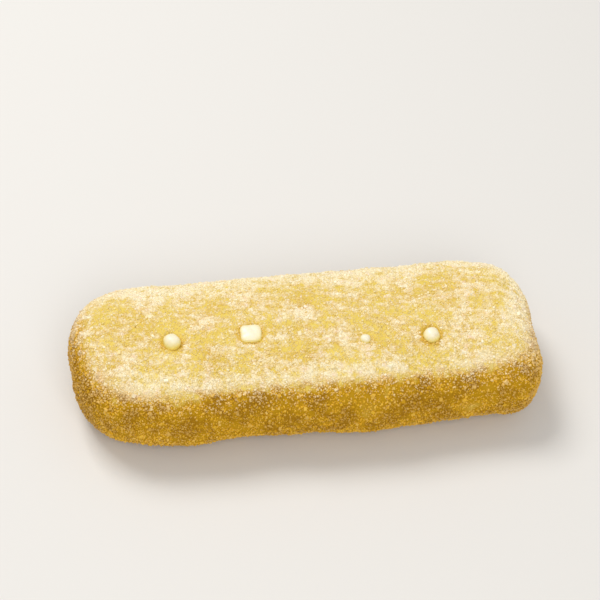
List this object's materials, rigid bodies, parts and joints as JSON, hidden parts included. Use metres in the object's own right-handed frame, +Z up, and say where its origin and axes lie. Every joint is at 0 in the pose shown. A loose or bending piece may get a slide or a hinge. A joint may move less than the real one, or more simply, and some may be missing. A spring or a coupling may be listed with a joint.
{
  "type": "cream-filled choux pastry",
  "caption": "Long flat-topped pastry bar with round ends, rolled in coarse sugar, with beads of cream standing in the filling holes of its top.",
  "frame": {"origin": "on the flat underside, in the middle of the bar's outline seen from above", "axes": "+X along the bar to its squarer end, +Y to the back side, +Z up out of the top that shows the cream"},
  "size_m": [0.166, 0.0674, 0.0339],
  "materials": {
    "sugared_dough": "golden fried dough under a coat of granulated sugar",
    "cream": "smooth moist custard cream",
    "sugar": "clear to white sugar crystals"
  },
  "bodies": {
    "root": {"pastry": "sugared_dough", "cream_filling": "cream"}
  },
  "joints": []
}
